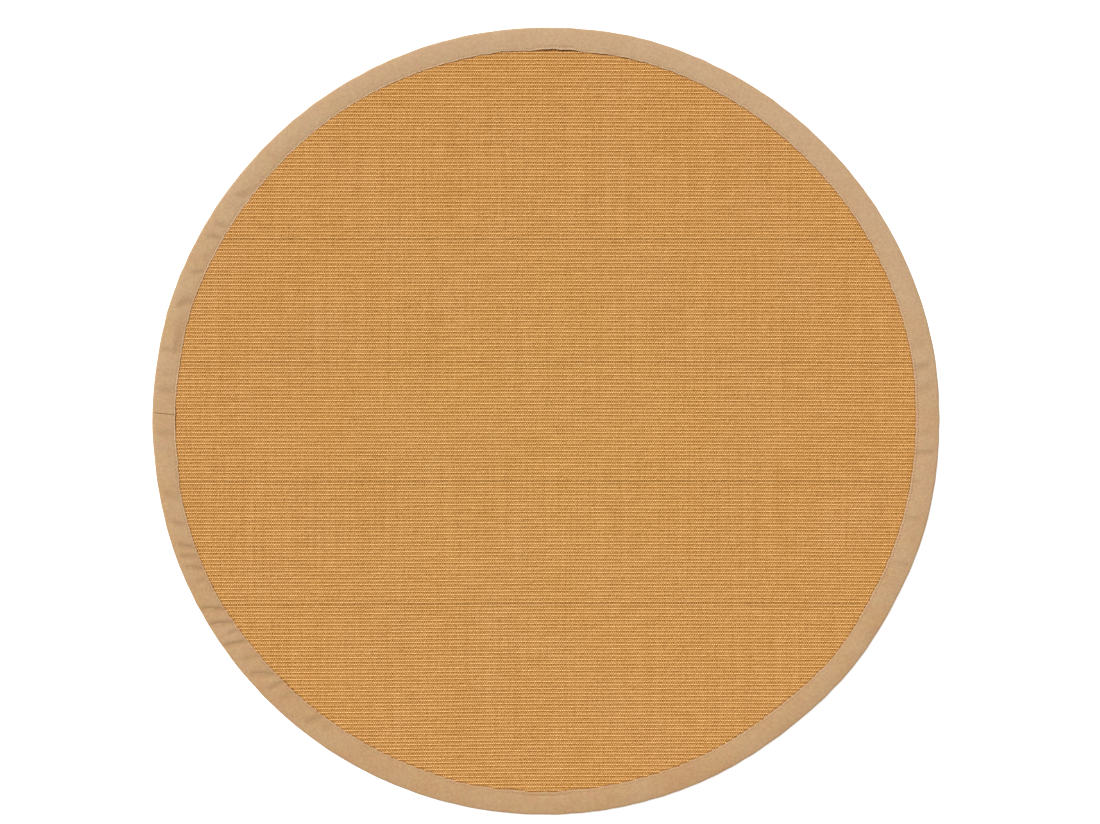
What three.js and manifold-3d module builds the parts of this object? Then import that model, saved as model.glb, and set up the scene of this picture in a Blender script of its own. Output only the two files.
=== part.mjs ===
// A round sisal rug, lying flat: a ribbed woven mat with a strip of cotton cloth folded round its edge.
// Millimetres, +Z up. The origin is under the centre, on the surface that the rug lies on.
import * as THREE from "three";
import { mergeVertices } from "three/addons/utils/BufferGeometryUtils.js";
import Module from "manifold-3d";

const wasm = await Module();
wasm.setup();

// Plan of the rug
const RUG_RADIUS = 750;
const BORDER_WIDTH = 44;

// Heights, from the surface up
const CLOTH_THICKNESS = 1.2;
const CLEARANCE = 0.3;
const PRESSED_EDGE_THICKNESS = 3;
const RIB_FOOT_HEIGHT = 4.6;
const RIB_TOP_HEIGHT = 6.2;

// Ribs of the weave, which run along X
const RIB_PITCH = 6.88;
const RIB_CREST_Y = -0.5;

// Heights at even steps across one rib's pitch: its foot, then both sides of a flat crest
const RIB_SECTION = [RIB_FOOT_HEIGHT, RIB_TOP_HEIGHT, RIB_TOP_HEIGHT];

// How far the weaver's ribs wander from straight lines, towards +Y: a row for each height on the rug
const RIB_DRIFT = [
  { y: -640, left: -5.5, midLeft: -4.5, middle: -0.5, midRight: 1, right: 0 },
  { y: -320, left: -2, midLeft: -1, middle: 1.5, midRight: 2, right: 0 },
  { y: 0, left: -0.5, midLeft: -1, middle: 0, midRight: -1, right: -2.5 },
  { y: 320, left: 0, midLeft: -0.5, middle: 0, midRight: 0, right: -1.5 },
  { y: 640, left: 1, midLeft: 2, middle: 1.5, midRight: 0.5, right: 0 },
];
const DRIFT_COLUMNS = ["left", "midLeft", "middle", "midRight", "right"];

// How uneven the edge is: degrees from +X, then how far out the outline and the border's sewn edge lie
// from their plain circles
const EDGE = [
  { angle: 0, outline: 0, sewn: -0.5 },
  { angle: 10, outline: 1.5, sewn: 2 },
  { angle: 28, outline: 0.5, sewn: 0.5 },
  { angle: 46, outline: -0.5, sewn: -1 },
  { angle: 62, outline: 0.5, sewn: 1 },
  { angle: 77, outline: 2, sewn: 3 },
  { angle: 90, outline: 0, sewn: 0.5 },
  { angle: 105, outline: 0, sewn: 2 },
  { angle: 120, outline: -1, sewn: 1.5 },
  { angle: 138, outline: -1.5, sewn: -1 },
  { angle: 150, outline: -0.5, sewn: 0 },
  { angle: 160, outline: 1, sewn: 2 },
  { angle: 171, outline: -0.5, sewn: -1 },
  { angle: 180, outline: 0, sewn: 1 },
  { angle: 186, outline: -1, sewn: -1.5 },
  { angle: 200, outline: 1, sewn: 0 },
  { angle: 217, outline: 1, sewn: 0.5 },
  { angle: 234, outline: 1, sewn: -2 },
  { angle: 250, outline: 0.5, sewn: -1.5 },
  { angle: 270, outline: 0, sewn: 0 },
  { angle: 292, outline: -1, sewn: -2 },
  { angle: 308, outline: -3, sewn: -3.5 },
  { angle: 322, outline: 0, sewn: 2.5 },
  { angle: 332, outline: -1, sewn: -1.5 },
  { angle: 344, outline: 1.5, sewn: -0.5 },
];

// Soft puckers across the border: where a ridge meets the sewn edge and how far it leans on its way to the
// fold, both in degrees, then its height and half-width
const PUCKERS = [
  { angle: 141.6, lean: 2, height: 1, spread: 8 },
  { angle: 149.1, lean: 1.8, height: 0.5, spread: 7 },
  { angle: 153.4, lean: 1.5, height: 0.6, spread: 7 },
  { angle: 160.4, lean: 1.8, height: 1, spread: 10 },
  { angle: 194.8, lean: -0.5, height: 0.5, spread: 7 },
  { angle: 199.1, lean: -1, height: 0.8, spread: 7 },
  { angle: 201, lean: -1.5, height: 0.9, spread: 7 },
  { angle: 202.8, lean: -1.5, height: 0.9, spread: 7 },
  { angle: 209.6, lean: -1.6, height: 1.1, spread: 8 },
  { angle: 212.5, lean: -1.6, height: 1.1, spread: 8 },
  { angle: 215.4, lean: -1, height: 1, spread: 7 },
  { angle: 222, lean: -2.3, height: 1.1, spread: 10 },
  { angle: 226, lean: -0.8, height: 0.6, spread: 8 },
  { angle: 232.4, lean: -1.7, height: 0.8, spread: 8 },
];

// A pucker's height across the border follows a sine between these phases
const PUCKER_SEWN_PHASE = 0.3 * Math.PI;
const PUCKER_FOLD_PHASE = 0.95 * Math.PI;

// Where the border's sewn edge stands up loose: its middle and half-length in degrees, and its lift
const LIPS = [
  { angle: 88.3, halfLength: 3.6, lift: 2.2 },
  { angle: 269.2, halfLength: 4.6, lift: 1.8 },
];

// A lip keeps its full lift over this share of its half-length, and falls off across the border by this
// power of the share left
const LIP_LEVEL_SHARE = 0.3;
const LIP_FALL = 3;

// Steps round the rug, closer where the border is puckered; each stretch starts where the last ends
const STRETCHES = [
  { end: 84, steps: 28 },
  { end: 93, steps: 6 },
  { end: 138, steps: 15 },
  { end: 165, steps: 36 },
  { end: 192, steps: 12 },
  { end: 237, steps: 60 },
  { end: 264, steps: 9 },
  { end: 274, steps: 6 },
  { end: 360, steps: 29 },
];

// The border's section: shares of its width from the sewn edge to the fold, and angles round the fold
const FLAP_SHARES = [0, 0.33, 0.67, 1];
const OUTER_FOLD_DEGREES = [-45, 0, 45];
const INNER_FOLD_DEGREES = [0];

// Sizes that follow
const EDGE_THICKNESS = PRESSED_EDGE_THICKNESS + 2 * (CLOTH_THICKNESS + CLEARANCE);
const OUTER_FOLD_RADIUS = EDGE_THICKNESS / 2;
const INNER_FOLD_RADIUS = OUTER_FOLD_RADIUS - CLOTH_THICKNESS;
const PRESSED_EDGE_BASE = CLOTH_THICKNESS + CLEARANCE;

const { degToRad, lerp, smoothstep, euclideanModulo } = THREE.MathUtils;

function stepAngles() {
  const angles = [];
  let start = 0;
  for (const stretch of STRETCHES) {
    for (let step = 0; step < stretch.steps; step += 1) {
      angles.push(lerp(start, stretch.end, step / stretch.steps));
    }
    start = stretch.end;
  }
  return angles;
}

const STEP_ANGLES = stepAngles();

// An uneven edge's offset at an angle: smooth steps join each row to the next, and the last to the first
function edgeOffset(angle, column) {
  const before = EDGE.findLast((row) => row.angle <= angle);
  const after = EDGE.find((row) => row.angle > angle) ?? { ...EDGE[0], angle: 360 };
  return lerp(before[column], after[column], smoothstep(angle, before.angle, after.angle));
}

function outlineRadius(angle) {
  return RUG_RADIUS + edgeOffset(angle, "outline");
}

function sewnRadius(angle) {
  return RUG_RADIUS - BORDER_WIDTH + edgeOffset(angle, "sewn");
}

// Linear between the table's rows and between its columns, which stand at even steps along X
function ribDrift(x, y) {
  const along = THREE.MathUtils.clamp(x / (2 * RUG_RADIUS) + 0.5, 0, 1) * (DRIFT_COLUMNS.length - 1);
  const column = Math.min(Math.floor(along), DRIFT_COLUMNS.length - 2);
  const [near, far] = DRIFT_COLUMNS.slice(column, column + 2);
  const rowDrift = (row) => lerp(row[near], row[far], along - column);
  const above = RIB_DRIFT.find((row) => row.y > y) ?? RIB_DRIFT.at(-1);
  const below = RIB_DRIFT.findLast((row) => row.y <= y) ?? RIB_DRIFT[0];
  const share = above === below ? 0 : (y - below.y) / (above.y - below.y);
  return lerp(rowDrift(below), rowDrift(above), share);
}

function weld(geometry) {
  geometry.deleteAttribute("normal");
  geometry.deleteAttribute("uv");
  return mergeVertices(geometry);
}

function solidOf(geometry) {
  const welded = weld(geometry);
  const vertProperties = new Float32Array(welded.attributes.position.array);
  const triVerts = new Uint32Array(welded.index.array);
  return new wasm.Manifold(new wasm.Mesh({ numProp: 3, vertProperties, triVerts }));
}

function geometryOf(solid) {
  const mesh = solid.getMesh();
  const geometry = new THREE.BufferGeometry();
  geometry.setAttribute("position", new THREE.BufferAttribute(mesh.vertProperties, 3));
  geometry.setIndex(new THREE.BufferAttribute(mesh.triVerts, 1));
  geometry.computeVertexNormals();
  return geometry;
}

// A round plate whose rim follows an uneven radius
function plate(radiusAt, base, top) {
  const rim = STEP_ANGLES.map((angle) => {
    const turn = degToRad(angle);
    return new THREE.Vector2(Math.cos(turn), Math.sin(turn)).multiplyScalar(radiusAt(angle));
  });
  const outline = new THREE.Shape(rim);
  const geometry = new THREE.ExtrudeGeometry(outline, { depth: top - base, bevelEnabled: false });
  geometry.translate(0, 0, base);
  return solidOf(geometry);
}

// A square of the woven cloth, deeper than the mat: a block whose top face has its points raised into ribs
// and moved by their drift
function ribbedCloth() {
  const ribs = 2 * Math.ceil(RUG_RADIUS / RIB_PITCH) + 2;
  const lines = ribs * RIB_SECTION.length;
  const block = new THREE.BoxGeometry(
    2 * RUG_RADIUS, ribs * RIB_PITCH, 2 * RIB_TOP_HEIGHT, DRIFT_COLUMNS.length - 1, lines, 1,
  );
  const cloth = weld(block);
  const points = cloth.attributes.position;
  for (let i = 0; i < points.count; i += 1) {
    if (points.getZ(i) > 0) {
      const y = points.getY(i);
      const line = Math.round((y / RIB_PITCH) * RIB_SECTION.length);
      points.setY(i, y + RIB_CREST_Y - RIB_PITCH / 2 + ribDrift(points.getX(i), y));
      points.setZ(i, RIB_SECTION[euclideanModulo(line, RIB_SECTION.length)]);
    }
  }
  return solidOf(cloth);
}

// The mat: ribbed inside the border, and pressed flat where the border holds it
function matGeometry() {
  const ribbedRadius = (angle) => sewnRadius(angle) - CLEARANCE;
  const pressedRadius = (angle) => outlineRadius(angle) - OUTER_FOLD_RADIUS - CLEARANCE;
  const ribbed = ribbedCloth().intersect(plate(ribbedRadius, 0, 2 * RIB_TOP_HEIGHT));
  const pressed = plate(pressedRadius, PRESSED_EDGE_BASE, PRESSED_EDGE_BASE + PRESSED_EDGE_THICKNESS);
  return geometryOf(ribbed.add(pressed));
}

// The border's rise above its plain height: ridges of bell section that lean and fade towards the fold,
// and the loose lips, highest at the sewn edge
function borderLift(angle, share, radius) {
  let lift = 0;
  for (const pucker of PUCKERS) {
    const off = degToRad(angle - pucker.angle - pucker.lean * share) * radius;
    const fade = Math.sin(lerp(PUCKER_SEWN_PHASE, PUCKER_FOLD_PHASE, share));
    lift += pucker.height * fade * Math.exp(-((off / pucker.spread) ** 2));
  }
  for (const lip of LIPS) {
    const along = Math.abs(angle - lip.angle) / lip.halfLength;
    lift += lip.lift * (1 - smoothstep(along, LIP_LEVEL_SHARE, 1)) * (1 - share) ** LIP_FALL;
  }
  return lift;
}

// One section of the border, anticlockwise with radius to the right and height up
function borderSection(angle) {
  const fold = outlineRadius(angle) - OUTER_FOLD_RADIUS;
  const sewn = sewnRadius(angle);
  const flap = (height) => FLAP_SHARES.map((share) => {
    const radius = lerp(sewn, fold, share);
    return [radius, height + borderLift(angle, share, radius)];
  });
  const bend = (size, degrees) => degrees.map((turn) => [
    fold + size * Math.cos(degToRad(turn)),
    OUTER_FOLD_RADIUS + size * Math.sin(degToRad(turn)),
  ]);
  return [
    [sewn, 0],
    [fold, 0],
    ...bend(OUTER_FOLD_RADIUS, OUTER_FOLD_DEGREES),
    ...flap(EDGE_THICKNESS).reverse(),
    ...flap(EDGE_THICKNESS - CLOTH_THICKNESS),
    ...bend(INNER_FOLD_RADIUS, INNER_FOLD_DEGREES),
    [fold, CLOTH_THICKNESS],
    [sewn, CLOTH_THICKNESS],
  ];
}

// The border: its section carried once round the rug and closed on itself
function borderGeometry() {
  const sections = STEP_ANGLES.map(borderSection);
  const size = sections[0].length;
  const positions = sections.flatMap((section, step) => {
    const x = Math.cos(degToRad(STEP_ANGLES[step]));
    const y = Math.sin(degToRad(STEP_ANGLES[step]));
    return section.flatMap(([radius, height]) => [radius * x, radius * y, height]);
  });
  const faces = [];
  for (let step = 0; step < sections.length; step += 1) {
    const here = step * size;
    const there = ((step + 1) % sections.length) * size;
    for (let side = 0; side < size; side += 1) {
      const after = (side + 1) % size;
      faces.push(here + side, there + after, here + after);
      faces.push(here + side, there + side, there + after);
    }
  }
  const geometry = new THREE.BufferGeometry();
  geometry.setAttribute("position", new THREE.Float32BufferAttribute(positions, 3));
  geometry.setIndex(faces);
  geometry.computeVertexNormals();
  return geometry;
}

function piece(name, geometry, color, roughness) {
  const material = new THREE.MeshStandardMaterial({ color, roughness, metalness: 0 });
  const mesh = new THREE.Mesh(geometry, material);
  mesh.name = name;
  return mesh;
}

const rug = new THREE.Group();
rug.add(piece("sisal_mat", matGeometry(), "#cd9656", 0.95));
rug.add(piece("cotton_binding", borderGeometry(), "#c8a67a", 0.9));

export default rug;
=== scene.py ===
"""A round sisal rug seen from straight above: a ribbed mat of looped sisal yarn with a cotton border.

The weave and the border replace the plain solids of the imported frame. Sizes in the classes are in
millimetres, angles in degrees anticlockwise from +X, and meshes go into Blender in metres.
"""

from __future__ import annotations

import logging
import math
from collections.abc import Callable
from dataclasses import dataclass, field
from enum import Enum
from functools import partial
from typing import Any

import bpy
import numpy as np
from numpy.typing import NDArray
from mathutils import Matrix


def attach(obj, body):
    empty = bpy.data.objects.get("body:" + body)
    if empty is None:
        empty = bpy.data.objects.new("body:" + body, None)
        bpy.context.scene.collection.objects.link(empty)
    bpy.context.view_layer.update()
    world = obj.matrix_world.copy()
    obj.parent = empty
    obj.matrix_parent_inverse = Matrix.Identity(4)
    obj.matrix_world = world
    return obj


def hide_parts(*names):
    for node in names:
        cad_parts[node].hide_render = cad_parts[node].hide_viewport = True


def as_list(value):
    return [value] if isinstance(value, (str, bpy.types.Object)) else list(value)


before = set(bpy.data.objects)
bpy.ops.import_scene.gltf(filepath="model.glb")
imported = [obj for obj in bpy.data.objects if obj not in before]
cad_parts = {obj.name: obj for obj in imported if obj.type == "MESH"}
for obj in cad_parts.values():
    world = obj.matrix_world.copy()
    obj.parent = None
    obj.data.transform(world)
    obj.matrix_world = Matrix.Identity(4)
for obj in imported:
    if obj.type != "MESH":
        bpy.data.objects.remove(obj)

Floats = NDArray[np.float64]
Ints = NDArray[np.int64]
Pair = tuple[float, float]
Stops = tuple[tuple[float, str], ...]
AddNode = Callable[..., Any]

LOG = logging.getLogger("sisal_rug")
MM = 0.001
FULL_TURN = 360.0

# Settings that several nodes share
EASED: dict[str, Any] = {"interpolation_type": "SMOOTHSTEP"}
COLOURS: dict[str, Any] = {"data_type": "RGBA", "output": 2}


class Slot(Enum):
    """The record's material slots."""

    SISAL = "sisal_weave"
    COTTON = "cotton_cloth"


class Layer(Enum):
    """The names of the meshes' maps and readings, which the materials look up."""

    WEAVE = "weave"
    CLOTH = "cloth"
    BAKE = "OFBake"
    INSIDE = "inside"
    TROUGH = "trough"
    JOIN = "join"
    NEEDLE = "needle"
    RIB = "rib"
    BARE = "bare"


# Small tools


def linear_colour(srgb: str) -> tuple[float, ...]:
    """An sRGB hex colour made linear: c / 12.92 up to 0.04045, ((c + 0.055) / 1.055) ** 2.4 above."""
    channels = (int(srgb[start : start + 2], 16) / 255 for start in (1, 3, 5))
    return *(c / 12.92 if c <= 0.04045 else ((c + 0.055) / 1.055) ** 2.4 for c in channels), 1.0


def smoothstep(value: Floats, low: float = 0.0, high: float = 1.0) -> Floats:
    """Eases from 0 at low to 1 at high by t * t * (3 - 2 * t)."""
    share = np.clip((value - low) / (high - low), 0.0, 1.0)
    return share * share * (3.0 - 2.0 * share)


def bell(off: Floats, reach: Floats | float) -> Floats:
    """A bell of height 1: exp(-(off / reach) ** 2)."""
    return np.exp(-((off / reach) ** 2))


def turn_between(angle: Floats, middle: float) -> Floats:
    """The turn from a middle angle, from -180 to 180 degrees."""
    return (angle - middle + FULL_TURN / 2) % FULL_TURN - FULL_TURN / 2


def round_points(angle: Floats, radius: Floats, height: Floats | float) -> Floats:
    """Points at (radius * cos(angle), radius * sin(angle), height), from angles in degrees."""
    turn = np.deg2rad(angle)
    return np.stack(np.broadcast_arrays(radius * np.cos(turn), radius * np.sin(turn), height), axis=-1)


def round_wander(angle: Floats, slowest: int, fastest: int, seed: int) -> Floats:
    """A smooth random wander of spread 1 that closes on itself after a full turn.

    It is the sum of sin(n * angle + phase) with random phases, divided by the square root of half the
    number of waves.

    Args:
        angle: Angles in degrees.
        slowest: The least n.
        fastest: The greatest n.
        seed: The seed of the phases.

    Returns:
        The wander at each angle.
    """
    waves = np.arange(slowest, fastest + 1)
    phases = np.random.default_rng(seed).uniform(0, 2 * np.pi, len(waves))
    sines = np.sin(np.deg2rad(angle)[..., None] * waves + phases)
    return sines.sum(axis=-1) / math.sqrt(len(waves) / 2)


def slow_rows(random: np.random.Generator, rows: int, columns: int, step: int) -> Floats:
    """Random numbers that run in straight lines along each row, from knot to knot.

    Args:
        random: The source of the knots, whose spread is 1.
        rows: How many rows.
        columns: How many columns.
        step: Columns from knot to knot.

    Returns:
        A grid of rows by columns.
    """
    place = np.arange(columns) / step
    before = np.floor(place).astype(int)
    knots = random.normal(0, 1, (rows, before[-1] + 2))
    share = place - before
    return knots[:, before] * (1 - share) + knots[:, before + 1] * share


def add_node(
    tree: bpy.types.NodeTree,
    kind: str,
    *values: Any,
    output: int | str = 0,
    stops: Stops = (),
    **settings: Any,
) -> Any:
    """Adds a shader node with its settings, and sets or links its inputs.

    Args:
        tree: The node tree.
        kind: The node's type name after its first word, ShaderNode.
        *values: The first inputs' values, or output sockets to link.
        output: The output to return, by name or index.
        stops: A colour ramp's positions and sRGB hex colours, in rising order.
        **settings: Properties, in lower case, and further inputs by identifier, with _ for a space.

    Returns:
        The chosen output, or None for a node without outputs.
    """
    node = tree.nodes.new("ShaderNode" + kind)
    for name in [*filter(str.islower, settings)]:
        setattr(node, name, settings.pop(name))
    sockets = {socket.identifier.replace(" ", "_"): socket for socket in node.inputs}
    named = ((sockets[name], value) for name, value in settings.items())
    for socket, value in (*zip(node.inputs, values), *named):
        if isinstance(value, bpy.types.NodeSocket):
            tree.links.new(value, socket)
        else:
            socket.default_value = value
    for index, (position, colour) in enumerate(stops):
        elements = node.color_ramp.elements
        element = elements[index] if index < len(elements) else elements.new(position)
        element.position, element.color = position, linear_colour(colour)
    return node.outputs[output] if node.outputs else None


def new_material(name: str) -> tuple[bpy.types.Material, AddNode]:
    """Makes a material with an empty node tree.

    Args:
        name: The material's name.

    Returns:
        The material, and add_node bound to its tree.
    """
    material = bpy.data.materials.new(name)
    material.use_nodes = True
    material.node_tree.nodes.clear()
    return material, partial(add_node, material.node_tree)


@dataclass
class Surface:
    """A mesh in the making: points in millimetres, and groups of faces with equally many corners.

    Maps hold a pair for each corner, readings hold a number for each point, and the faces from
    flat_from on are flat shaded.
    """

    points: Floats
    groups: list[Ints]
    maps: dict[Layer, Floats] = field(default_factory=dict)
    readings: dict[Layer, Floats] = field(default_factory=dict)
    flat_from: int | None = None

    @property
    def corners(self) -> Ints:
        """The point of each corner, face after face."""
        return np.concatenate([group.ravel() for group in self.groups])

    def build(self, name: str, material: bpy.types.Material) -> bpy.types.Object:
        """Makes the Blender object, in metres and at the origin.

        Args:
            name: The piece's name.
            material: The material that it wears.

        Returns:
            The new object.
        """
        mesh = bpy.data.meshes.new(name)
        corners = self.corners.astype(np.int32)
        sizes = np.concatenate([np.full(*group.shape) for group in self.groups])
        smooth = np.ones(len(sizes), bool)
        smooth[self.flat_from :] = self.flat_from is None
        mesh.vertices.add(len(self.points))
        mesh.vertices.foreach_set("co", (self.points * MM).astype(np.float32).ravel())
        mesh.loops.add(len(corners))
        mesh.loops.foreach_set("vertex_index", corners)
        mesh.polygons.add(len(sizes))
        mesh.polygons.foreach_set("loop_start", (np.cumsum(sizes) - sizes).astype(np.int32))
        mesh.polygons.foreach_set("use_smooth", smooth)
        for layer, pairs in self.maps.items():
            uv_map = mesh.uv_layers.new(name=layer.value, do_init=False)
            uv_map.uv.foreach_set("vector", pairs.astype(np.float32).ravel())
        mesh.update(calc_edges=True)
        for layer, numbers in self.readings.items():
            reading = mesh.attributes.new(layer.value, "FLOAT", "POINT")
            reading.data.foreach_set("value", numbers.astype(np.float32))
        mesh.validate()
        mesh.materials.append(material)
        piece = bpy.data.objects.new(name, mesh)
        bpy.context.scene.collection.objects.link(piece)
        return piece


def grid_quads(rows: int, columns: int, wrap_rows: bool = False, wrap_columns: bool = False) -> Ints:
    """Joins the points of a grid, counted row by row, into four-cornered faces.

    The face of cell (r, c) is (r, c), (r, c + 1), (r + 1, c + 1), (r + 1, c).

    Args:
        rows: Rows of points.
        columns: Points in a row.
        wrap_rows: Whether the last row joins the first.
        wrap_columns: Whether a row's last point joins its first.

    Returns:
        One row of four point indices for each face.
    """
    row = np.arange(rows if wrap_rows else rows - 1)[:, None]
    column = np.arange(columns if wrap_columns else columns - 1)[None, :]
    here, there = row * columns, (row + 1) % rows * columns
    after = (column + 1) % columns
    faces = np.broadcast_arrays(here + column, here + after, there + after, there + column)
    return np.stack(faces, axis=-1).reshape(-1, 4)


def capped_rings(rings: int, sides: int) -> tuple[Ints, Ints]:
    """Faces of a stack of rings, closed at its ends by fans to the two points that follow the rings.

    Args:
        rings: How many rings.
        sides: Points in a ring.

    Returns:
        The four-cornered faces between the rings, and the triangles of the two fans.
    """
    ring = np.arange(sides)
    after, last, pole = np.roll(ring, -1), (rings - 1) * sides, np.full(sides, rings * sides)
    fans = [np.stack([ring, pole, after], -1), np.stack([last + ring, last + after, pole + 1], -1)]
    return grid_quads(rings, sides, wrap_columns=True), np.concatenate(fans)


def grid_map(across: Floats, along: Floats) -> Floats:
    """Reads two grids at the corners of a wrapped grid's faces, in the order of grid_quads.

    Both have a row and a column more than the faces, so that the faces at the wrap read on.

    Args:
        across: The first number of each pair.
        along: The second number of each pair.

    Returns:
        One pair for each corner.
    """
    grid = np.stack(np.broadcast_arrays(across, along), axis=-1)
    cells = [grid[:-1, :-1], grid[:-1, 1:], grid[1:, 1:], grid[1:, :-1]]
    return np.stack(cells, axis=2).reshape(-1, 2)


def rim_order(quads: Ints, count: int) -> Ints:
    """Puts the points of a patch's rim in order, anticlockwise as the patch's faces are.

    An edge is on the rim when no face runs along it the other way. Each rim point then knows the next
    one, and doubling these steps again and again gives its distance from the first.

    Args:
        quads: The patch's faces, with no holes between them.
        count: How many points there are.

    Returns:
        The rim's point indices in order.
    """
    tail, head = quads.ravel(), np.roll(quads, -1, axis=1).ravel()
    on_rim = ~np.isin(tail * count + head, head * count + tail)
    rim = np.unique(tail[on_rim])
    step, steps_left = np.arange(count), np.zeros(count, np.int64)
    step[tail[on_rim]] = head[on_rim]
    steps_left[rim] = 1
    first = rim[0]
    step[first], steps_left[first] = first, 0
    for _ in range(math.ceil(math.log2(len(rim))) + 1):
        steps_left, step = steps_left + steps_left[step], step[step]
    rest = rim[rim != first]
    return np.concatenate([[first], rest[np.argsort(-steps_left[rest])]])


# The rug's plan and weave


@dataclass(frozen=True)
class EdgeRow:
    """How far the outline and the border's sewn edge lie outside their plain circles at an angle."""

    angle: float
    outline: float
    sewn: float


@dataclass(frozen=True)
class Lift:
    """A stretch of the sewn edge that stands up, in degrees, with a crease in the cloth behind it."""

    angle: float
    half_length: float
    rise: float
    retreat: float = 0.0
    crease: float = 0.0


@dataclass(frozen=True)
class Trough:
    """A dip across the border where the cloth is gathered, between two shares of the border's width.

    Its lean is the angle added by the fold, and its half-widths lie before its angle and after it.
    """

    angle: float
    lean: float
    depth: float
    before: float
    after: float
    inner_share: float = 0.0
    outer_share: float = 0.9


EDGE_ROWS = tuple(
    EdgeRow(*row)
    for row in (
        (0, 0, -0.5), (10, 1.5, 2), (28, 0.5, 0.5), (46, -0.5, -1), (62, 0.5, 1), (77, 2, 3),
        (86, 0.5, 0.3), (92, 0, 0), (98, 0, 2.2), (105, 0, 1.8), (120, -1, 1.5), (138, -1.5, -1),
        (150, -0.5, 0), (163, 0.8, 2.6), (171, -0.5, -0.4), (180, 0, 1), (186, -1, -0.7),
        (191, -0.5, 3), (200, 1, 3.2), (208, 1, 3.2), (213, 1, 1.2), (219, 1, -1.4), (234, 1, -2.3),
        (250, 0.5, -1.2), (257, 0.4, 1.7), (264, 0.1, 0.6), (270, 0, -0.5), (292, -1, -2),
        (308, -3, -3.5), (322, 0, 2.5), (332, -1, -1.5), (344, 1.5, -0.5),
    )
)

LIFTS = tuple(
    Lift(*row)
    for row in (
        (88.3, 4.6, 1.9, 2.6, 1.3), (269.3, 6.2, 0.5, 0.3, 1.5), (134.0, 28.0, -0.6),
        (179.6, 2.8, 0.9, -0.8), (104.0, 4.0, 0.2), (96.4, 2.4, 0.7, 0.4, 0.4),
        (81.2, 2.0, 0.7, 0.4, 0.4), (77.4, 1.3, 0.6), (226.0, 3.0, 0.6), (310.0, 5.0, 0.4),
    )
)

TROUGHS = tuple(
    Trough(*row)
    for row in (
        (4.7, 0.3, 1.04, 10.4, 11.7), (7.9, 0.4, 1.49, 7.8, 7.8), (11.3, 0.5, 0.58, 10.4, 10.4),
        (141.9, 1, 0.93, 11.7, 11.7, 0, 0.5), (142.9, 1.4, 1.4, 6.5, 4.5, 0.2, 0.8),
        (148.6, 0.8, 1.24, 5.2, 4.5, 0.1, 0.85), (150.6, 1.1, 1.55, 5.2, 4.5, 0.1, 0.85),
        (154, 0.5, 0.62, 11.7, 11.7, 0, 0.5), (156.5, 1.3, 1.4, 5.9, 4.2, 0.1, 0.75),
        (161.6, 1.6, 2.02, 13, 4.5, 0, 0.8), (169.2, 0.6, 1.9, 49.4, 6, 0.05, 0.5),
        (169.4, 0, 1.08, 4.5, 4.5, 0.5, 1.1), (172.9, 0, 0.62, 7.8, 6.5), (175.5, 0, 1.08, 7.8, 5.9),
        (182, 0, 0.93, 9.1, 6.5), (192.3, -1.8, 0.87, 10.4, 7.8),
        (196.3, -1.4, 1.39, 5.9, 4.5, 0.1, 0.85), (200, -1.7, 2.08, 5.9, 4.5, 0, 0.85),
        (201.4, -1.3, 1.39, 4.5, 4.5), (203.6, -1.8, 2.08, 5.9, 4.2),
        (205.4, -1.2, 1.04, 5.2, 5.2, 0.2, 0.7), (210.5, -1.8, 2.61, 6.5, 5.5, 0, 1.1),
        (213, -1.7, 2.43, 6.5, 5.5, 0, 1.1), (214.3, -0.8, 1.21, 4.5, 4.5, 0, 0.7),
        (216.5, -1.4, 2.26, 5.9, 3.6, 0, 1.1), (219.4, -1.6, 1.04, 6.5, 5.2, 0, 0.8),
        (223.2, -2.8, 2.43, 7.8, 6.5, 0, 0.95), (225, -1.3, 1.57, 5.9, 3.9, 0, 0.8),
        (227.2, -1, 0.69, 6.5, 6.5, 0, 0.7), (233.1, -2.3, 1.4, 7.8, 6.5, 0, 0.8),
        (234.9, -1, 0.62, 6.5, 6.5, 0.1, 0.7), (337.9, 0.3, 0.8, 5.2, 4.5, 0.35, 1.1),
        (345.1, 0, 0.8, 11.7, 5.2), (350.6, 0.2, 0.58, 4.5, 4.5, 0, 0.6),
        (355.1, 0.3, 1.27, 6.5, 5.2, 0, 1.05), (358.2, 0, 0.58, 7.8, 7.8),
    )
)


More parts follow.
